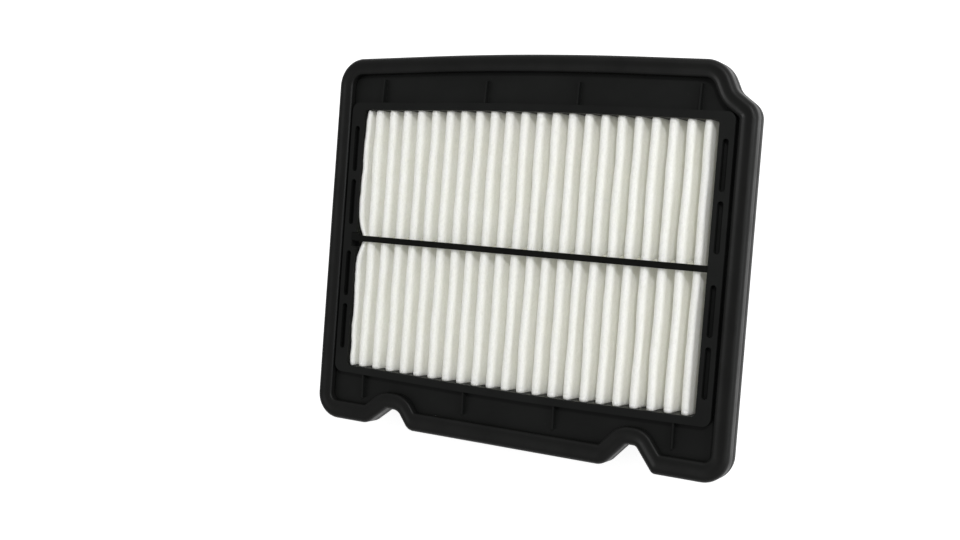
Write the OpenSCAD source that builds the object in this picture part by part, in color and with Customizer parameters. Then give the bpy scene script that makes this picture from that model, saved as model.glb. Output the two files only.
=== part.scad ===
// Panel air filter: a moulded tray with a pleated felt pack, two comb bars that
// space the pleats, adhesive beads, and a soft seal on the rim of the flange.
// X runs along the long side, Y along the pleats, and Z out of the inlet face.
// The origin is under the middle of the pleat window, on the outlet face.

/* [Panel] */
// Length over the seal, along X
panel_l = 222.6; // [221.6:0.5:226]
// Width over the seal, along Y
panel_w = 189.5; // [189.1:0.2:192.5]
// Depth from the outlet face to the crown of the seal
panel_h = 40; // [38:0.5:46]
// Rise of the long upper edge from its ends to its middle
crown = 2.7; // [1.5:0.1:3]

/* [Seal] */
// Width of the seal, measured inward from its outer edge
seal_w = 8.3; // [7.8:0.1:8.4]
// Depth of the seal along Z
seal_h = 12; // [10:0.5:13]
// How far the outer edge of the flange lies inside the seal's outer edge
seal_grip = 4.2; // [3.5:0.1:5]
// Radius of the seal's outer shoulder
shoulder_r = 2.6; // [1.5:0.1:2.8]
// Radius of the seal's inner lip
lip_r = 1.1; // [0.8:0.1:1.2]

/* [Window] */
// Window length, along X
window_l = 188.8; // [187.8:0.2:189.2]
// Window width, along Y
window_w = 132; // [130:0.5:133]
// How far the long edges of the window bow outward in the middle
bow = 1.4; // [0.5:0.1:2]
// Width of the raised rim above and below the window
rim_w = 3.7; // [3:0.1:4.5]
// Width of the raised rails beside the window
rail_w = 7.2; // [7:0.1:7.4]
// Depth of the flange pockets below the rim
pocket_h = 3.9; // [3:0.1:4.5]
// Thickness of the flange
flange_t = 2.5; // [2:0.1:3]

/* [Tray] */
// Thickness of the tray's walls
wall_t = 2; // [1.6:0.1:2.4]
// Width of the ledge that holds the pack at the outlet face
ledge_w = 3; // [2:0.5:4]
// Thickness of that ledge
ledge_t = 2; // [1.5:0.1:2.2]
// Length of each obround pocket in the rails
slot_l = 23.4; // [18:0.2:24]
// Width of each obround pocket
slot_w = 2.8; // [2.4:0.1:3]
// Depth of each obround pocket
slot_h = 3.4; // [2:0.2:5.6]

/* [Pleats] */
// Number of pleat tips at the inlet face
pleats = 22; // [20:1:22]
// Thickness of the felt
felt_t = 1.3; // [0.9:0.1:1.4]
// Outer radius of each fold
fold_r = 1.8; // [1.5:0.1:1.8]
// From the window's left edge to the first tip
first_gap = 7.9; // [7.7:0.1:8.1]
// From the last tip to the window's right edge
last_gap = 5.5; // [5.3:0.1:6]

/* [Comb bars] */
// Width of the bars, along Y
bar_w = 3; // [2.6:0.1:3.4]
// Thickness of the inlet bar, along Z
bar_t = 1.5; // [1.2:0.1:1.6]
// How deep the teeth reach between the pleats
tooth_h = 17; // [10:1:17]

/* [Hidden] */
$fn = 48;

plastic = [0.11, 0.11, 0.11];
rubber = [0.07, 0.07, 0.07];
felt = [0.92, 0.92, 0.89];
glue = [0.85, 0.83, 0.74];

// Levels along Z
seal_base = panel_h - seal_h;
rim_top = panel_h - 0.6;
flange_top = rim_top - pocket_h;
flange_base = flange_top - flange_t;
tip_top = rim_top - 1;
fold_base = ledge_t + 0.3;
bar_base = tip_top + 0.05;

// Half sizes in the plane of the panel
half_l = panel_l / 2;
half_w = panel_w / 2;
win_x = window_l / 2;
win_y = window_w / 2;
tray_x = win_x + wall_t;
tray_y = win_y + wall_t;

// Outline of the panel
corner_r = [12.5, 14];
left_notch_x = [-80, -68.6, -61.8, -54.9];
left_notch_r = [8, 3.5, 5.5, 6];
right_notch_x = [51.8, 62.3, 67.2, 76];
right_notch_r = [8, 3, 2.5, 3];
notch_h = [9.2, 11.4];
relief_l = 16.7;
relief_w = 13;
relief_nose = 10.3;
relief_drop = 20.7;
relief_r = [9, 8, 14];
low_share = 1.13;
min_r = 2;
window_r = 1.5;
arc_steps = 5;
end_y = half_w - crown;
rail_r = 4;

// Pack
pitch = (window_l - first_gap - last_gap) / (pleats - 1);
first_x = first_gap - win_x;
bend_r = fold_r - felt_t / 2;
inner_r = fold_r - felt_t;
fold_span = tip_top - fold_base - 2 * fold_r;
fold_reach = norm([pitch / 2, fold_span]);
lean = atan(pitch / 2 / fold_span) - asin(2 * bend_r / fold_reach);
fold_steps = 6;
edge_lean = 1.6;
bead_w = 1.2;
bead_h = 11;
side_bead_h = 15;
pack_y = win_y - bead_w;
tooth_t = 2.4;
tooth_top = 2.1;
tooth_tip = 0.9;

// Ribs on the flange and under it
rib_x = [-84.3, -24.7, 24.7, 84.3];
side_rib_y = [-32, 32];
rib_t = 0.9;
rib_gap = 1.2;
stiffener_t = 1.5;
slot_x = win_x + 3.5;
slot_y = [-46, -18.5, 18.5, 46];

// Seat in the left rail for the hooked end of the inlet bar
seat = [2.3, 7.4, 4];
seat_y = -4.5;
hook = [4.2, 4, 3.9];
hook_y = -1.3;

function unit(v) = v / norm(v);
function left_of(v) = [-v.y, v.x];
function turned(v, a) = [v.x * cos(a) - v.y * sin(a), v.x * sin(a) + v.y * cos(a)];
function arc(x, y, r, a0, a1, steps) =
    [for (k = [0 : steps]) let (a = a0 + (a1 - a0) * k / steps) [x + r * cos(a), y + r * sin(a)]];

// A bowed edge is one arc over half its length, between straight tangents that
// would meet rise above its ends.
function rise(sag) = 4 * sag / 3;
function arch(half, y, sag) = [0, y + sign(y) * rise(sag), 3 * half * half / (8 * sag)];

// One notch in the lower edge: a mouth corner, two floor corners and a mouth corner.
function notch(x, r, h) = [
    [x[0], -half_w, r[0], 1],
    [x[1], h - half_w, r[1], 1],
    [x[2], h - half_w, r[2], 1],
    [x[3], -half_w, r[3], low_share]
];

// Corners of the panel's outline, anticlockwise, as [x, y, radius, share]. The edge after
// a corner moves inward by its share of the inset, so the seal is wider along the low edge.
corners = concat(
    [[-half_l, -half_w, corner_r[0], low_share]],
    notch(left_notch_x, left_notch_r, notch_h[0]),
    notch(right_notch_x, right_notch_r, notch_h[1]),
    [
        [half_l, -half_w, corner_r[0]],
        [half_l, end_y - relief_drop, relief_r[0]],
        [half_l - relief_nose, end_y - relief_w, relief_r[1]],
        [half_l - relief_l, end_y + rise(crown) * relief_l / half_l, relief_r[2]],
        arch(half_l, end_y, crown),
        [-half_l, end_y, corner_r[1]]
    ]
);

// A rounded corner at b, between a and c, with its two edges moved inward by d1 and d2.
function rounded_corner(a, b, c, r, d1, d2) =
    let (
        e1 = unit(b - a),
        e2 = unit(c - b),
        n1 = left_of(e1),
        n2 = left_of(e2),
        n = n1 * n2,
        turn = atan2(e1.x * e2.y - e1.y * e2.x, e1 * e2),
        side = sign(turn),
        radius = max(r - side * (d1 + d2) / 2, min_r),
        apex = b + (n1 * (d1 - n * d2) + n2 * (d2 - n * d1)) / (1 - n * n),
        start = apex - e1 * radius * tan(abs(turn) / 2),
        centre = start + n1 * radius * side
    )
    [for (k = [0 : arc_steps]) centre + turned(start - centre, turn * k / arc_steps)];

function corner_at(loop, i) = loop[(i + len(loop)) % len(loop)];
function flat_corner(loop, i) = let (c = corner_at(loop, i)) [c.x, c.y];
function share(c) = len(c) > 3 ? c[3] : 1;

function rounded(loop, inset) = [
    for (i = [0 : len(loop) - 1])
        each rounded_corner(
            flat_corner(loop, i - 1), flat_corner(loop, i), flat_corner(loop, i + 1), loop[i][2],
            inset * share(corner_at(loop, i - 1)), inset * share(loop[i])
        )
];

function outline(inset) = rounded(corners, inset);

// A rectangle with rounded corners, whose long edges bow outward like the window's.
function bowed_rect(x, y, r) = rounded(
    [[-x, -y, r], arch(x, -y, bow), [x, -y, r], [x, y, r], arch(x, y, bow), [-x, y, r]],
    0
);

// Cross-section of the seal as [inset from the outer edge, z], inner lip first.
seal_profile = concat(
    [[seal_w, flange_top]],
    arc(seal_w - lip_r, panel_h - 0.35 - lip_r, lip_r, 0, 120, 5),
    [[seal_w - 2.35, panel_h - 0.78], [seal_w - 2.85, panel_h - 0.86], [4.7, panel_h - 0.8]],
    [[4.1, panel_h - 0.62], [3.5, panel_h - 0.35], [3, panel_h - 0.14]],
    arc(shoulder_r, panel_h - shoulder_r, shoulder_r, 90, 180, 5),
    [[0, seal_base + 3.4], [0.35, seal_base + 3.2], [0.35, seal_base + 0.6], [0.95, seal_base]],
    [[seal_w, seal_base], [seal_w, flange_base], [seal_grip, flange_base], [seal_grip, flange_top]]
);

module perimeter_seal() {
    rings = [for (p = seal_profile) outline(p.x)];
    count = len(rings[0]);
    last = len(rings);
    points = [for (j = [0 : last - 1]) for (q = rings[j]) [q.x, q.y, seal_profile[j].y]];
    faces = [
        for (j = [0 : last - 1]) for (i = [0 : count - 1])
            let (j2 = (j + 1) % last, i2 = (i + 1) % count)
            each [
                [j * count + i, j * count + i2, j2 * count + i2],
                [j * count + i, j2 * count + i2, j2 * count + i]
            ]
    ];
    color(rubber) polyhedron(points, faces);
}

// A plate standing along Y (or X when turned), sloping from the wall to its free end.
module rib(x, y, out, drop, thick) {
    translate([x - thick / 2, y, 0])
        rotate([90, 0, 90])
            linear_extrude(thick) polygon([[0, 0], [out, 0], [out, drop.y], [0, drop.x]]);
}

module obround_pocket(x, y) {
    run = (slot_l - slot_w) / 2;
    translate([x, y, rim_top - slot_h]) {
        translate([-slot_w / 2, -run, 0]) cube([slot_w, 2 * run, slot_h + 1]);
        for (s = [-1, 1]) translate([0, s * run, 0]) cylinder(d = slot_w, h = slot_h + 1);
    }
}

module flange_ribs() {
    reach = end_y - seal_w - rib_gap - win_y - rim_w;
    for (x = rib_x) for (s = [0, 1]) mirror([0, s, 0])
        translate([0, 0, flange_top - 0.5])
            rib(x, win_y + rim_w - 0.5, reach, [3.7, 2.9], rib_t);
    // Stiffeners between the tray's walls and the flange's under face
    for (x = rib_x) for (s = [0, 1]) mirror([0, s, 0])
        translate([0, 0, flange_base + 0.5])
            rib(x, tray_y - 0.5, bow + 4.5, [-17, -2], stiffener_t);
    for (y = side_rib_y) for (s = [0, 1]) mirror([s, 0, 0])
        rotate([0, 0, -90])
            translate([0, 0, flange_base + 0.5])
                rib(y, tray_x - 0.5, 1.7, [-17, -2], stiffener_t);
}

module frame_blank() {
    translate([0, 0, flange_base]) linear_extrude(flange_t) polygon(outline(seal_grip));
    translate([0, 0, flange_base])
        linear_extrude(rim_top - flange_base)
            polygon(bowed_rect(win_x + rail_w, win_y + rim_w, rail_r));
    linear_extrude(flange_base + 1) polygon(bowed_rect(tray_x, tray_y, 3));
    flange_ribs();
}

module frame() {
    color(plastic)
        difference() {
            frame_blank();
            translate([0, 0, ledge_t]) linear_extrude(panel_h) polygon(bowed_rect(win_x, win_y, window_r));
            translate([0, 0, -1])
                linear_extrude(panel_h)
                    polygon(bowed_rect(win_x - ledge_w, win_y - ledge_w, window_r));
            for (y = slot_y) for (s = [-1, 1]) obround_pocket(s * slot_x, y);
            // Seats for the ends of the two bars
            translate([-win_x - seat.x, seat_y, rim_top - seat.z]) cube([seat.x + 1, seat.y, seat.z + 1]);
            translate([-win_x, -bar_w / 2 - 0.1, -1])
                cube([window_l, bar_w + 0.2, ledge_t + 2]);
        }
}

function tip_x(k) = first_x + k * pitch;

// One face of the felt, from the left edge to the right, at radius tip on the inlet
// folds and radius base on the outlet folds.
function felt_face(tip, base) =
    let (
        zt = tip_top - fold_r,
        zb = fold_base + fold_r,
        x0 = first_x - pitch / 2,
        end = arc(tip_x(pleats - 1), zt, tip, lean, lean, 1)[0]
    )
    concat(
        [[x0 - base - edge_lean, tip_top]],
        arc(x0, zb, base, 180, 360 - lean, fold_steps),
        [
            for (k = [0 : pleats - 1]) each concat(
                arc(tip_x(k), zt, tip, 180 - lean, lean, fold_steps),
                k == pleats - 1 ? [] : arc(tip_x(k) + pitch / 2, zb, base, 180 + lean, 360 - lean, fold_steps)
            )
        ],
        [[end.x + (end.y - fold_base) * tan(lean), fold_base]]
    );

module pleat_pack() {
    upper = felt_face(fold_r, inner_r);
    lower = felt_face(inner_r, fold_r);
    section = concat(upper, [for (i = [len(lower) - 1 : -1 : 0]) lower[i]]);
    color(felt)
        intersection() {
            translate([0, half_w, 0]) rotate([90, 0, 0]) linear_extrude(panel_w) polygon(section);
            linear_extrude(panel_h) polygon(bowed_rect(win_x, pack_y, window_r));
        }
}

// A wedge between two pleats, pointing down from z = 0.
module tooth(h) {
    translate([0, tooth_t / 2, 0])
        rotate([90, 0, 0])
            linear_extrude(tooth_t)
                polygon([[-tooth_top, 0.3], [tooth_top, 0.3], [tooth_tip, -h], [-tooth_tip, -h]]);
}

module front_crossbar() {
    color(plastic) {
        translate([0.1 - win_x, -bar_w / 2, bar_base]) cube([window_l - 0.15, bar_w, bar_t]);
        // Hooked end, in the left rail's seat
        translate([-win_x - seat.x + 0.1, hook_y, bar_base]) cube([hook.x, hook.y, bar_t]);
        translate([-win_x - seat.x + 0.1, hook_y, rim_top - hook.z])
            cube([seat.x - 0.2, hook.y, hook.z]);
        for (k = [0 : pleats - 2])
            translate([tip_x(k) + pitch / 2, 0, bar_base]) tooth(tooth_h);
    }
}

module rear_crossbar() {
    color(plastic) {
        translate([0.05 - win_x, -bar_w / 2, 0]) cube([window_l - 0.1, bar_w, ledge_t]);
        for (k = [0 : pleats - 1])
            translate([tip_x(k), 0, ledge_t]) rotate([180, 0, 0]) tooth(tooth_h - 2);
    }
}

// Adhesive between the ends of the pleats and the tray's long walls.
module end_bead() {
    translate([0, 0, ledge_t + 1])
        linear_extrude(bead_h)
            intersection() {
                difference() {
                    polygon(bowed_rect(win_x, win_y, window_r));
                    polygon(bowed_rect(win_x, pack_y, window_r));
                }
                translate([-win_x + 2, 0]) square([window_l - 4, half_w]);
            }
}

module upper_bead() color(glue) end_bead();

module lower_bead() color(glue) mirror([0, 1, 0]) end_bead();

// Adhesive behind the first leaf of the felt.
module left_bead() {
    gap = first_gap - pitch / 2 - fold_r;
    taper = edge_lean * side_bead_h / (tip_top - fold_base - fold_r) + 0.05;
    color(glue)
        translate([-win_x, pack_y, fold_base + fold_r])
            rotate([90, 0, 0])
                linear_extrude(2 * pack_y)
                    polygon([[0, 0], [gap, 0], [gap - taper, side_bead_h], [0, side_bead_h]]);
}

// Adhesive behind the last leaf of the felt.
module right_bead() {
    low = last_gap - fold_r - fold_span * tan(lean) - 0.3;
    color(glue)
        translate([win_x, pack_y, fold_base])
            rotate([90, 0, 0])
                linear_extrude(2 * pack_y)
                    polygon([[0, 0], [0, 12], [-low - 0.7, 12], [-low, 0]]);
}

// Fillets of adhesive in the valleys along the upper side of the inlet bar.
module crossbar_bead() {
    half = 1.6;
    color(glue)
        for (k = [0 : pleats - 2])
            translate([tip_x(k) + pitch / 2 - half, tooth_t / 2, bar_base - 9])
                rotate([90, 0, 90])
                    linear_extrude(2 * half) polygon([[0, 0], [1.6, 0], [1.1, 3], [0, 5.5]]);
}

frame();
perimeter_seal();
pleat_pack();
front_crossbar();
rear_crossbar();
upper_bead();
lower_bead();
left_bead();
right_bead();
crossbar_bead();
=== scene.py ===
"""Looks for the panel air filter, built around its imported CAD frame.

The filter lies on a pale floor with its inlet face up. X runs along the long side,
Y along the pleats and Z out of the inlet face. Sizes are in millimetres until a
mesh is made, which is in metres."""

import math

import bpy
import numpy as np
from mathutils import Matrix, Vector, noise


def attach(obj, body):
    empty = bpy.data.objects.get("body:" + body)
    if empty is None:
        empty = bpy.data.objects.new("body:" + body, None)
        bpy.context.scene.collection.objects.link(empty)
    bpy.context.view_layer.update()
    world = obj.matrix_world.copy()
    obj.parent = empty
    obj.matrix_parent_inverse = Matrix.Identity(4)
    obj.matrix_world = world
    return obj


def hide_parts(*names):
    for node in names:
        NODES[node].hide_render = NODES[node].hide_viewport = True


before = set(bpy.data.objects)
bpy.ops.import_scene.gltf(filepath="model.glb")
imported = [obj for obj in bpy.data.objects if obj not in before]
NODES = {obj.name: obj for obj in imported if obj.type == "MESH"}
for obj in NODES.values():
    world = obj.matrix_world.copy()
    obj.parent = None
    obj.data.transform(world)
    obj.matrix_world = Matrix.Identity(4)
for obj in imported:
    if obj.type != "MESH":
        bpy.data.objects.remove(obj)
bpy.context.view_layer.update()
MM = 0.001

# Sizes shared with the CAD model
PANEL_L, PANEL_W, PANEL_H = 222.6, 189.5, 40.0
HALF_L, HALF_W = PANEL_L / 2, PANEL_W / 2
CROWN = 2.7
SEAL_W, SEAL_H, SEAL_GRIP = 8.3, 12.0, 4.2
LOW_SHARE = 1.13
LIP_DROP = 0.35
SHOULDER_R, LIP_R = 2.6, 1.1
WIN_X, WIN_Y, BOW = 94.4, 66.0, 1.4
RIM_TOP = PANEL_H - 0.6
POCKET_H, FLANGE_T = 3.9, 2.5
FLANGE_TOP, FLANGE_BASE = RIM_TOP - POCKET_H, RIM_TOP - POCKET_H - FLANGE_T
SEAL_BASE = PANEL_H - SEAL_H
PLEATS = 22
FELT_T, FOLD_R = 1.3, 1.8
EDGE_LEAN = 0.4
FIRST_GAP, LAST_GAP = 7.9, 5.5
TIP_TOP, FOLD_BASE = RIM_TOP - 1.0, 2.3
PITCH = (2 * WIN_X - FIRST_GAP - LAST_GAP) / (PLEATS - 1)
FIRST_X = FIRST_GAP - WIN_X
BEND_R = FOLD_R - FELT_T / 2
MIN_R = 2.0
RELIEF_L, RELIEF_W, RELIEF_NOSE, RELIEF_DROP = 16.7, 13.0, 10.3, 20.7

# Sizes of the visual model only
END_GAP = 0.12
FLOOR_HALF = 40.0
WORLD_LIGHT = 0.42

# The camera, in millimetres and degrees
CAMERA_PLACE, CAMERA_AIM = (260.8, 14.5, 550.3), (-19.65, -10.25, 39.4)
CAMERA_ROLL, CAMERA_LENS = -4.32, 44.86


# ---------------------------------------------------------------- outlines

def bowed_apex(half, y, sag):
    """The middle corner of an edge that bows out by sag, as [x, y, radius, share]."""
    apex_y = y + math.copysign(4 * sag / 3, y)
    return [0.0, apex_y, 3 * half * half / (8 * sag), 1]


def notch(xs, radii, depth):
    """The four corners of a notch in the lower edge."""
    floor = depth - HALF_W
    ys = (-HALF_W, floor, floor, -HALF_W)
    return [list(c) for c in zip(xs, ys, radii, (1, 1, 1, LOW_SHARE))]


# Corners as [x, y, radius, share]: the edge after a corner moves inward by its share
# of the inset, so the seal is wider along the low edge.
END_Y = HALF_W - CROWN
PANEL = (
    [[-HALF_L, -HALF_W, 12.5, LOW_SHARE]]
    + notch((-80, -68.6, -61.8, -54.9), (8, 3.5, 5.5, 6), 9.2)
    + notch((51.8, 62.3, 67.2, 76), (8, 3, 2.5, 3), 11.4)
    + [
        [HALF_L, -HALF_W, 12.5, 1],
        [HALF_L, END_Y - RELIEF_DROP, 9, 1],
        [HALF_L - RELIEF_NOSE, END_Y - RELIEF_W, 8, 1],
        [HALF_L - RELIEF_L, END_Y + 4 * CROWN / 3 * RELIEF_L / HALF_L, 14, 1],
        bowed_apex(HALF_L, END_Y, CROWN),
        [-HALF_L, END_Y, 14, 1],
    ]
)


def corner_arc(a, b, c, radius, d1, d2, steps):
    """Points of the rounded corner at b, with its edges moved inward by d1 and d2."""
    a, b, c = (np.array(p[:2], float) for p in (a, b, c))
    e1, e2 = (b - a) / np.linalg.norm(b - a), (c - b) / np.linalg.norm(c - b)
    n1, n2 = np.array([-e1[1], e1[0]]), np.array([-e2[1], e2[0]])
    turn = math.atan2(e1[0] * e2[1] - e1[1] * e2[0], e1 @ e2)
    side = math.copysign(1, turn)
    r = max(radius - side * (d1 + d2) / 2, MIN_R)
    n = n1 @ n2
    apex = b + (n1 * (d1 - n * d2) + n2 * (d2 - n * d1)) / (1 - n * n)
    start = apex - e1 * r * math.tan(abs(turn) / 2)
    centre = start + n1 * r * side
    out = []
    for k in range(steps + 1):
        t = turn * k / steps
        d = start - centre
        out.append(centre + [d[0] * math.cos(t) - d[1] * math.sin(t),
                             d[0] * math.sin(t) + d[1] * math.cos(t)])
    return np.array(out)


def loop_points(loop, inset, step=2.0):
    """A closed outline at that inset. Every inset gives the same number of points."""
    n = len(loop)
    arcs = []
    for i in range(n):
        steps = 40 if loop[i][2] > 200 else 14
        arcs.append(corner_arc(loop[i - 1], loop[i], loop[(i + 1) % n], loop[i][2],
                               inset * loop[i - 1][3], inset * loop[i][3], steps))
    out = []
    for i in range(n):
        out.extend(arcs[i])
        here, there = arcs[i][-1], arcs[(i + 1) % n][0]
        span = np.linalg.norm(np.array(loop[i][:2]) - np.array(loop[(i + 1) % n][:2]))
        count = max(2, int(span / step))
        for k in range(1, count):
            out.append(here + (there - here) * k / count)
    return np.array(out)


# ---------------------------------------------------------------- mesh tools

def new_object(name, verts, faces, smooth=True):
    mesh = bpy.data.meshes.new(name)
    mesh.from_pydata([tuple(v) for v in verts], [], [tuple(int(i) for i in f) for f in faces])
    mesh.validate()
    mesh.update()
    if smooth:
        mesh.shade_smooth()
    obj = bpy.data.objects.new(name, mesh)
    bpy.context.scene.collection.objects.link(obj)
    return obj


def tube_faces(rings, count):
    """Quads of a ring of rings, closed both ways."""
    j, i = np.meshgrid(np.arange(rings), np.arange(count), indexing="ij")
    j2, i2 = (j + 1) % rings, (i + 1) % count
    quads = np.stack([j * count + i, j * count + i2, j2 * count + i2, j2 * count + i], -1)
    return quads.reshape(-1, 4)


def finish_piece(obj, slot, *replaced):
    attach(obj, "root")
    if replaced:
        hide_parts(*replaced)
    return obj


def wave(seed, u, v=0.0):
    """Smooth noise from -1 to 1."""
    return noise.noise(Vector((seed * 17.31 + 0.5, u, v)))


# ---------------------------------------------------------------- materials

def material(name):
    mat = bpy.data.materials.new(name)
    mat.use_nodes = True
    tree = mat.node_tree
    tree.nodes.clear()
    out = tree.nodes.new("ShaderNodeOutputMaterial")
    bsdf = tree.nodes.new("ShaderNodeBsdfPrincipled")
    tree.links.new(bsdf.outputs[0], out.inputs[0])
    coord = tree.nodes.new("ShaderNodeTexCoord")
    return mat, tree, bsdf, coord.outputs["Object"]


def noise_node(tree, where, scale, detail=3.0, rough=0.55, stretch=None):
    if stretch:
        mapping = tree.nodes.new("ShaderNodeMapping")
        mapping.inputs["Scale"].default_value = stretch
        tree.links.new(where, mapping.inputs[0])
        where = mapping.outputs[0]
    node = tree.nodes.new("ShaderNodeTexNoise")
    node.inputs["Scale"].default_value = scale
    node.inputs["Detail"].default_value = detail
    node.inputs["Roughness"].default_value = rough
    tree.links.new(where, node.inputs["Vector"])
    return node.outputs["Fac"]


def ramp(tree, value, stops):
    node = tree.nodes.new("ShaderNodeValToRGB")
    node.color_ramp.elements.remove(node.color_ramp.elements[0])
    for k, (at, colour) in enumerate(stops):
        if k == 0:
            element = node.color_ramp.elements[0]
            element.position = at
        else:
            element = node.color_ramp.elements.new(at)
        element.color = (*colour, 1.0) if len(colour) == 3 else colour
    tree.links.new(value, node.inputs[0])
    return node.outputs[0]


def mix(tree, a, b, factor, kind="MIX"):
    node = tree.nodes.new("ShaderNodeMix")
    node.data_type = "RGBA"
    node.blend_type = kind
    for socket, value in ((node.inputs[0], factor), (node.inputs[6], a), (node.inputs[7], b)):
        if isinstance(value, (int, float)):
            socket.default_value = value
        elif isinstance(value, tuple):
            socket.default_value = (*value, 1.0)
        else:
            tree.links.new(value, socket)
    return node.outputs[2]


def spread(tree, value, low, high, from_low=0.0, from_high=1.0):
    node = tree.nodes.new("ShaderNodeMapRange")
    node.inputs[1].default_value = from_low
    node.inputs[2].default_value = from_high
    node.inputs[3].default_value = low
    node.inputs[4].default_value = high
    tree.links.new(value, node.inputs[0])
    return node.outputs[0]


def bump(tree, height, distance, strength=1.0, after=None):
    node = tree.nodes.new("ShaderNodeBump")
    node.inputs["Strength"].default_value = strength
    node.inputs["Distance"].default_value = distance
    tree.links.new(height, node.inputs["Height"])
    if after:
        tree.links.new(after, node.inputs["Normal"])
    return node.outputs[0]


def plastic(name, base, rough, grain, specular=0.16):
    """Satin black moulded plastic: fine grain, flow marks, faint rubbing and dust."""
    mat, tree, bsdf, at = material(name)
    cloud = noise_node(tree, at, 35, 4)
    flow = noise_node(tree, at, 60, 3, stretch=(0.3, 1.6, 1.0))
    fine = noise_node(tree, at, 3500, 2)
    scuff = noise_node(tree, at, 900, 4, 0.7, stretch=(1.0, 0.12, 0.4))
    dust = noise_node(tree, at, 420, 6, 0.75)
    dark = tuple(c * 0.8 for c in base)
    light = tuple(c * 1.35 for c in base)
    colour = ramp(tree, cloud, [(0.3, dark), (0.7, light)])
    specks = ramp(tree, dust, [(0.66, (0, 0, 0)), (0.74, (1, 1, 1))])
    tree.links.new(mix(tree, colour, (0.05, 0.05, 0.047), spread(tree, specks, 0.0, 0.25)),
                   bsdf.inputs["Base Color"])
    tree.links.new(spread(tree, mix(tree, flow, scuff, 0.45), rough - 0.09, rough + 0.11, 0.3, 0.7),
                   bsdf.inputs["Roughness"])
    first = bump(tree, flow, 0.00006, 0.6)
    tree.links.new(bump(tree, fine, grain, 0.8, first), bsdf.inputs["Normal"])
    bsdf.inputs["Specular IOR Level"].default_value = specular
    return mat


def rubber(name):
    """Soft moulded seal: satin, with fine pits, bloom and slight waviness."""
    mat, tree, bsdf, at = material(name)
    bloom = noise_node(tree, at, 55, 5, 0.6)
    pits = noise_node(tree, at, 2600, 3, 0.6)
    ripple = noise_node(tree, at, 160, 2)
    dust = noise_node(tree, at, 700, 6, 0.8)
    colour = ramp(tree, bloom, [(0.3, (0.0048, 0.0050, 0.0047)), (0.72, (0.0078, 0.0080, 0.0075))])
    specks = ramp(tree, dust, [(0.67, (0, 0, 0)), (0.76, (1, 1, 1))])
    tree.links.new(mix(tree, colour, (0.05, 0.05, 0.048), spread(tree, specks, 0.0, 0.22)),
                   bsdf.inputs["Base Color"])
    tree.links.new(spread(tree, bloom, 0.40, 0.56, 0.3, 0.7), bsdf.inputs["Roughness"])
    first = bump(tree, ripple, 0.00018, 0.5)
    tree.links.new(bump(tree, pits, 0.00005, 0.8, first), bsdf.inputs["Normal"])
    bsdf.inputs["Specular IOR Level"].default_value = 0.2
    return mat


def felt(name):
    """Nonwoven felt: matted fibres, faint mottling, a soft bloom at grazing angles and a faint
    painted glow that lifts its shaded flanks.
    """
    mat, tree, bsdf, at = material(name)
    mottle = noise_node(tree, at, 90, 5, 0.6)
    broad = noise_node(tree, at, 14, 2)
    along = noise_node(tree, at, 1500, 5, 0.65, stretch=(1.0, 0.35, 1.0))
    across = noise_node(tree, at, 1500, 5, 0.65, stretch=(0.6, 1.0, 0.3))
    web = mix(tree, along, across, 0.5, "MULTIPLY")
    colour = ramp(tree, mottle, [(0.28, (0.862, 0.866, 0.778)), (0.72, (0.910, 0.912, 0.852))])
    colour = mix(tree, colour, (0.885, 0.875, 0.805), spread(tree, broad, 0.0, 0.5, 0.35, 0.7))
    fibres = ramp(tree, web, [(0.22, (0.90, 0.90, 0.89)), (0.42, (1, 1, 1))])
    tree.links.new(mix(tree, colour, fibres, 1.0, "MULTIPLY"), bsdf.inputs["Base Color"])
    bsdf.inputs["Roughness"].default_value = 0.95
    bsdf.inputs["Specular IOR Level"].default_value = 0.15
    bsdf.inputs["Subsurface Weight"].default_value = 0.8
    bsdf.inputs["Subsurface Scale"].default_value = 1.0
    bsdf.inputs["Subsurface Radius"].default_value = (0.006, 0.006, 0.0055)
    # Painted light: a faint even glow that brightens the felt's shaded flanks and the shadows in
    # its valleys.
    bsdf.inputs["Emission Color"].default_value = (1.0, 1.0, 0.92, 1)
    bsdf.inputs["Emission Strength"].default_value = 0.06
    bsdf.inputs["Sheen Weight"].default_value = 0.25
    bsdf.inputs["Sheen Roughness"].default_value = 0.5
    first = bump(tree, mottle, 0.0005, 0.5)
    tree.links.new(bump(tree, web, 0.00035, 0.8, first), bsdf.inputs["Normal"])
    return mat


def adhesive(name, dark, light):
    """Hot-melt adhesive: glossy, slightly translucent."""
    mat, tree, bsdf, at = material(name)
    swirl = noise_node(tree, at, 240, 4)
    blob = noise_node(tree, at, 700, 3)
    tree.links.new(ramp(tree, swirl, [(0.3, dark), (0.7, light)]), bsdf.inputs["Base Color"])
    tree.links.new(spread(tree, blob, 0.22, 0.42, 0.3, 0.7), bsdf.inputs["Roughness"])
    tree.links.new(bump(tree, blob, 0.0003, 0.5), bsdf.inputs["Normal"])
    bsdf.inputs["Subsurface Weight"].default_value = 0.25
    bsdf.inputs["Subsurface Radius"].default_value = (0.002, 0.0018, 0.0012)
    return mat


MAT_TRAY = plastic("tray_polypropylene", (0.0062, 0.0066, 0.0062), 0.44, 0.00004)
MAT_BAR = plastic("bar_plastic", (0.0040, 0.0042, 0.0036), 0.44, 0.00003, 0.10)
MAT_SEAL = rubber("seal_rubber_black")
MAT_FELT = felt("nonwoven_felt")
MAT_GLUE = adhesive("hot_melt", (0.62, 0.60, 0.50), (0.76, 0.745, 0.66))
# Darker than the other hot-melt: the glue's own tone plus painted shade of the valleys just above
# the bar.
MAT_SHADED_FILLET = adhesive("hot_melt_painted_shade", (0.48, 0.48, 0.42), (0.60, 0.60, 0.53))


# ---------------------------------------------------------------- seal

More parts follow.
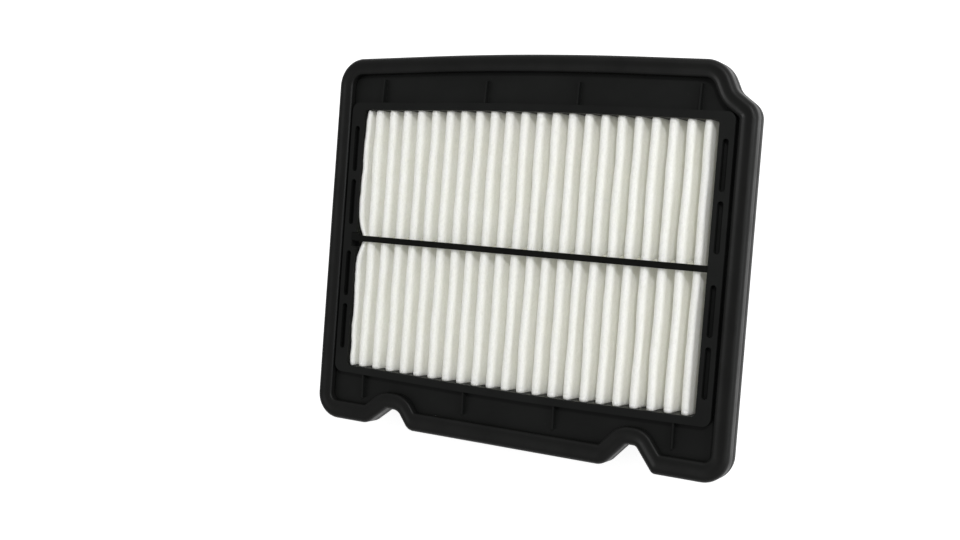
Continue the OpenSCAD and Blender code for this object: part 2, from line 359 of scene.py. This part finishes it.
def seal_section():
    """The seal's section as (inset from the outer edge, z), inner lip first."""
    pts = [(SEAL_W - 0.02, FLANGE_TOP + 0.05), (SEAL_W - 0.02, FLANGE_TOP + 1.2)]
    lip_z = PANEL_H - LIP_DROP - LIP_R
    for k in range(10):
        a = math.radians(120 * k / 9)
        pts.append((SEAL_W - LIP_R + LIP_R * math.cos(a), lip_z + LIP_R * math.sin(a)))
    # The shallow dip between the lip and the shoulder
    pts += [(SEAL_W - 2.35, PANEL_H - 0.78), (SEAL_W - 2.85, PANEL_H - 0.86),
            (4.7, PANEL_H - 0.80), (4.1, PANEL_H - 0.62), (3.5, PANEL_H - 0.35),
            (3.0, PANEL_H - 0.14)]
    crown_z = PANEL_H - 0.02
    for k in range(12):
        a = math.radians(90 + 90 * k / 11)
        pts.append((SHOULDER_R + SHOULDER_R * math.cos(a),
                    crown_z - SHOULDER_R + SHOULDER_R * math.sin(a)))
    # The outer side with its parting line
    pts += [(0.0, PANEL_H - 4.2), (0.02, PANEL_H - 6.6), (0.12, PANEL_H - 6.75),
            (0.14, PANEL_H - 6.95), (0.05, PANEL_H - 7.1), (0.06, SEAL_BASE + 1.6)]
    # The under face and the slot that grips the flange
    pts += [(0.2, SEAL_BASE + 0.8), (0.55, SEAL_BASE + 0.25), (1.05, SEAL_BASE),
            (3.0, SEAL_BASE), (5.6, SEAL_BASE), (SEAL_W - 0.3, SEAL_BASE),
            (SEAL_W, SEAL_BASE + 0.3), (SEAL_W, FLANGE_BASE - 0.4),
            (SEAL_W - 0.05, FLANGE_BASE - 0.03), (SEAL_GRIP + 0.1, FLANGE_BASE - 0.03),
            (SEAL_GRIP + 0.02, FLANGE_BASE), (SEAL_GRIP + 0.02, FLANGE_TOP),
            (SEAL_GRIP + 0.1, FLANGE_TOP + 0.03)]
    return pts


def build_seal():
    section = seal_section()
    base = loop_points(PANEL, 0.0)
    count = len(base)
    verts = []
    for inset, z in section:
        ring = loop_points(PANEL, max(inset, 0.05))
        for i in range(count):
            x, y = ring[i]
            bx, by = base[i]
            top = max(0.0, min(1.0, (z - FLANGE_TOP) / 3.0))
            sag = 0.10 * top * (wave(1, bx / 23, by / 23) - 1)
            verts.append((x * MM, y * MM, (z + sag) * MM))
    obj = new_object("seal", verts, tube_faces(len(section), count))
    obj.data.materials.append(MAT_SEAL)
    return finish_piece(obj, "seal_rubber", "perimeter_seal")


# ---------------------------------------------------------------- pleated felt

def on_fold(x, z, angle):
    """A point of the felt's centreline on the fold round (x, z)."""
    return x + BEND_R * math.cos(angle), z + BEND_R * math.sin(angle)


def centreline():
    """The felt's centreline as rows of (x, z, leaf, height share, is fold)."""
    zt, zb = TIP_TOP - FOLD_R, FOLD_BASE + FOLD_R
    span = zt - zb
    lean = math.atan(PITCH / 2 / span) - math.asin(2 * BEND_R / math.hypot(PITCH / 2, span))
    pts = []

    def arc(cx, cz, a0, a1, leaf, share):
        for k in range(9):
            a = a0 + (a1 - a0) * k / 8
            pts.append((*on_fold(cx, cz, a), leaf, share, 1.0))

    def leg(x0, z0, x1, z1, leaf, count=10):
        for k in range(1, count):
            t = k / count
            z = z0 + (z1 - z0) * t
            pts.append((x0 + (x1 - x0) * t, z, leaf, (z - zb) / span, 0.0))

    x0 = FIRST_X - PITCH / 2
    first_top = (x0 - BEND_R - EDGE_LEAN, TIP_TOP + 0.3)
    pts.append((*first_top, -1, 1.0, 0.0))
    leg(*first_top, x0 - BEND_R, zb, -1, 12)
    arc(x0, zb, math.pi, 2 * math.pi - lean, -1, 0.0)
    for k in range(PLEATS):
        tx = FIRST_X + k * PITCH
        leg(*pts[-1][:2], *on_fold(tx, zt, math.pi - lean), 2 * k)
        arc(tx, zt, math.pi - lean, lean, 2 * k, 1.0)
        top = pts[-1]
        if k < PLEATS - 1:
            bx = tx + PITCH / 2
            leg(top[0], top[1], *on_fold(bx, zb, math.pi + lean), 2 * k + 1)
            arc(bx, zb, math.pi + lean, 2 * math.pi - lean, 2 * k + 1, 0.0)
        else:
            end = (top[0] + (top[1] - FOLD_BASE) * math.tan(lean), FOLD_BASE + 0.05)
            leg(top[0], top[1], *end, 2 * k + 1)
            pts.append((*end, 2 * k + 1, 0.0, 0.0))
    return np.array(pts)


def half_share(y, reach):
    """0 at the bar and at the wall, 1 half way between them."""
    return math.sin(math.pi * min(1.0, abs(y) / reach))


def wall_y(x):
    """Where the bowed long wall's inner face is, at that x."""
    t = min(1.0, abs(x) / WIN_X)
    rise = 4 * BOW / 3
    if t > 0.5:
        return WIN_Y + rise * (1 - t)
    return WIN_Y + rise * (0.75 - t * t)


def felt_rows():
    """Y positions of the rows, as shares of the distance from bar to wall."""
    half = [0.0, 0.012, 0.023, 0.033, 0.042, 0.05, 0.057, 0.064, 0.075]
    half += list(np.linspace(0.095, 0.945, 34))
    half += [0.955, 0.962, 0.968, 0.974, 0.982, 0.991, 1.0]
    return [-s for s in reversed(half[1:])] + half


def ridge(at, middle, width):
    """A smooth bump of height 1 round the middle."""
    return math.exp(-((at - middle) / width) ** 2)


def edge_leaf(share, row, y):
    """How the first leaf's free edge leans, waves and is drawn in at the bar."""
    rise = max(0.0, share) ** 1.5
    dx = -1.1 * ridge(abs(y), 20, 11) + 2.2 * ridge(y, 0, 6) + 0.5 * wave(13, 0.3, y / 6)
    dx += 0.5 * max(0.0, (abs(row) - 0.9) / 0.1) ** 2
    dz = 0.35 * wave(14, 0.7, y / 3.5) - 1.2 * ridge(y, 0, 5)
    return dx * rise, dz * rise


def felt_line(row, line):
    """The centreline displaced for one row: waviness, pinch at the bar, fused ends."""
    out = np.empty((len(line), 3))
    creased = ridge(abs(row), 0.967, 0.006) + 0.8 * ridge(row, 0.057, 0.008)
    fused = max(0.0, (abs(row) - 0.965) / 0.035)
    for n, (x, z, leaf, share, fold) in enumerate(line):
        reach = wall_y(x) - END_GAP
        y = row * reach
        mid = half_share(y, reach)
        side = 1 if y > 0 else -1
        # A whole leaf bulges between the bar and the wall.
        tip = math.floor((leaf + 1) / 2)
        belly = math.sin(math.pi * min(max(share, 0.0), 1.0))
        dx = 0.60 * mid * belly * wave(3 + side, leaf * 1.7, y / 50)
        # Tips and valleys wander a little.
        loose = 0.16 + 0.84 * mid
        end = share if share > 0.5 else 0.0
        dx += 0.75 * loose * wave(7, tip * 2.9, y / 30) * (0.3 + 0.7 * end)
        dz = 0.45 * loose * wave(9, tip * 3.3, y / 28) * end
        dx += 0.12 * wave(11, leaf * 5.1 + z / 9, y / 7) * min(1.0, 0.3 + mid)
        if leaf == -1:
            lean_x, lean_z = edge_leaf(share, row, y)
            dx += lean_x
            dz += lean_z
        else:
            dz -= 0.18 * ridge(y, 0, 5) * end
        # Each fold is pressed down and creased where it is fused to the wall.
        dz -= (0.30 * fused ** 2 + 0.32 * creased * fold) * end
        out[n] = (x + dx, y, z + dz)
    return out


def felt_faces(row, line):
    """The upper and the lower face of the felt along one row."""
    mid = felt_line(row, line)
    tangent = np.gradient(mid[:, [0, 2]], axis=0)
    tangent /= np.linalg.norm(tangent, axis=1)[:, None]
    normal = np.stack([-tangent[:, 1], tangent[:, 0]], 1)
    uneven = [1 + 0.10 * wave(21, n * 0.9, row * 30) for n in range(len(line))]
    fused = max(0.0, (abs(row) - 0.975) / 0.025)
    shift = normal * (FELT_T / 2 * np.array(uneven) * (1 - 0.25 * fused))[:, None]
    up, down = mid.copy(), mid.copy()
    up[:, [0, 2]] += shift
    down[:, [0, 2]] -= shift
    return up, down


def sheet_quads(rows, count):
    """Quads of a closed sheet: two grids of rows by count, and the strips round them."""
    def vid(side, r, n):
        return (side * rows + r) * count + n

    def grid(side, corners):
        return np.stack([vid(side, r + dr, n + dn) for dr, dn in corners], -1).reshape(-1, 4)

    r, n = np.meshgrid(np.arange(rows - 1), np.arange(count - 1), indexing="ij")
    faces = list(grid(0, [(0, 0), (0, 1), (1, 1), (1, 0)]))
    faces += list(grid(1, [(0, 0), (1, 0), (1, 1), (0, 1)]))
    last_row, last = rows - 1, count - 1
    for k in range(count - 1):
        faces.append((vid(0, 0, k), vid(1, 0, k), vid(1, 0, k + 1), vid(0, 0, k + 1)))
        faces.append((vid(0, last_row, k), vid(0, last_row, k + 1),
                      vid(1, last_row, k + 1), vid(1, last_row, k)))
    for k in range(rows - 1):
        faces.append((vid(0, k, 0), vid(0, k + 1, 0), vid(1, k + 1, 0), vid(1, k, 0)))
        faces.append((vid(0, k, last), vid(1, k, last), vid(1, k + 1, last), vid(0, k + 1, last)))
    return faces


def build_felt():
    line = centreline()
    pairs = [felt_faces(row, line) for row in felt_rows()]
    points = np.array([up for up, _ in pairs] + [down for _, down in pairs]) * MM
    obj = new_object("felt_pack", points.reshape(-1, 3), sheet_quads(len(pairs), len(line)))
    obj.data.materials.append(MAT_FELT)
    finish_piece(obj, "filter_felt", "pleat_pack")
    return obj


# ---------------------------------------------------------------- CAD nodes kept

def soften(obj, width, mat):
    """Rounds a CAD node's sharp edges with modifiers, and gives it its material."""
    obj.data.materials.clear()
    obj.data.materials.append(mat)
    weld = obj.modifiers.new("weld", "WELD")
    weld.merge_threshold = 0.000002
    flat = obj.modifiers.new("flat", "DECIMATE")
    flat.decimate_type = "DISSOLVE"
    flat.angle_limit = math.radians(0.6)
    bevel = obj.modifiers.new("bevel", "BEVEL")
    bevel.width = width
    bevel.segments = 3
    bevel.limit_method = "ANGLE"
    bevel.angle_limit = math.radians(32)
    bevel.harden_normals = True
    bevel.use_clamp_overlap = True
    bevel.miter_outer = "MITER_ARC"
    normals = obj.modifiers.new("normals", "WEIGHTED_NORMAL")
    normals.keep_sharp = True
    return obj


# ---------------------------------------------------------------- stage

def area_light(name, place, aim, size, power, colour=(1, 1, 1)):
    light = bpy.data.lights.new(name, "AREA")
    light.shape = "RECTANGLE"
    light.size, light.size_y = size
    light.energy = power
    light.color = colour
    obj = bpy.data.objects.new(name, light)
    bpy.context.scene.collection.objects.link(obj)
    obj.location = place
    obj.rotation_euler = (Vector(aim) - Vector(place)).to_track_quat("-Z", "Y").to_euler()
    return obj


def build_stage():
    turns = [(-1, -1), (1, -1), (1, 1), (-1, 1)]
    corners = [(x * FLOOR_HALF, y * FLOOR_HALF, 0) for x, y in turns]
    floor = new_object("floor", corners, [(0, 1, 2, 3)], False)
    mat, _, bsdf, _ = material("floor_paper")
    bsdf.inputs["Base Color"].default_value = (0.6, 0.6, 0.6, 1)
    bsdf.inputs["Roughness"].default_value = 0.9
    bsdf.inputs["Specular IOR Level"].default_value = 0.1
    bsdf.inputs["Emission Color"].default_value = (1, 1, 1, 1)
    bsdf.inputs["Emission Strength"].default_value = 0.8
    floor.data.materials.append(mat)
    area_light("key", (0.72, 0.76, 1.40), (0, 0, 0.03), (0.18, 0.18), 13)
    area_light("side", (1.3, 0.15, 0.75), (0, 0, 0.03), (0.5, 0.5), 7, (0.97, 0.985, 1.0))
    world = bpy.data.worlds.new("studio")
    bpy.context.scene.world = world
    world.use_nodes = True
    background = world.node_tree.nodes["Background"]
    background.inputs[0].default_value = (1, 1, 1, 1)
    background.inputs[1].default_value = WORLD_LIGHT


def build_camera():
    place = Vector(CAMERA_PLACE) * MM
    aim = Vector(CAMERA_AIM) * MM
    roll = math.radians(CAMERA_ROLL)
    forward = (aim - place).normalized()
    upright = (Vector((0, 1, 0)) - forward * forward.y).normalized()
    right = forward.cross(upright)
    up = upright * math.cos(roll) + right * math.sin(roll)
    right = forward.cross(up)
    data = bpy.data.cameras.new("camera")
    data.lens = CAMERA_LENS
    data.sensor_width = 36
    data.clip_start = 0.01
    cam = bpy.data.objects.new("camera", data)
    bpy.context.scene.collection.objects.link(cam)
    turn = Matrix((right, up, -forward)).transposed().to_4x4()
    cam.matrix_world = Matrix.Translation(place) @ turn
    bpy.context.scene.camera = cam


build_camera()
build_stage()
bpy.context.scene.view_settings.view_transform = "Standard"
build_seal()
build_felt()
soften(NODES["frame"], 0.00035, MAT_TRAY)
for name in ("front_crossbar", "rear_crossbar"):
    soften(NODES[name], 0.0002, MAT_BAR)
for name in ("upper_bead", "lower_bead", "left_bead", "right_bead"):
    soften(NODES[name], 0.0004, MAT_GLUE)
# The fillets above the bar take the darker hot-melt, which is partly painted shade.
soften(NODES["crossbar_bead"], 0.0004, MAT_SHADED_FILLET)
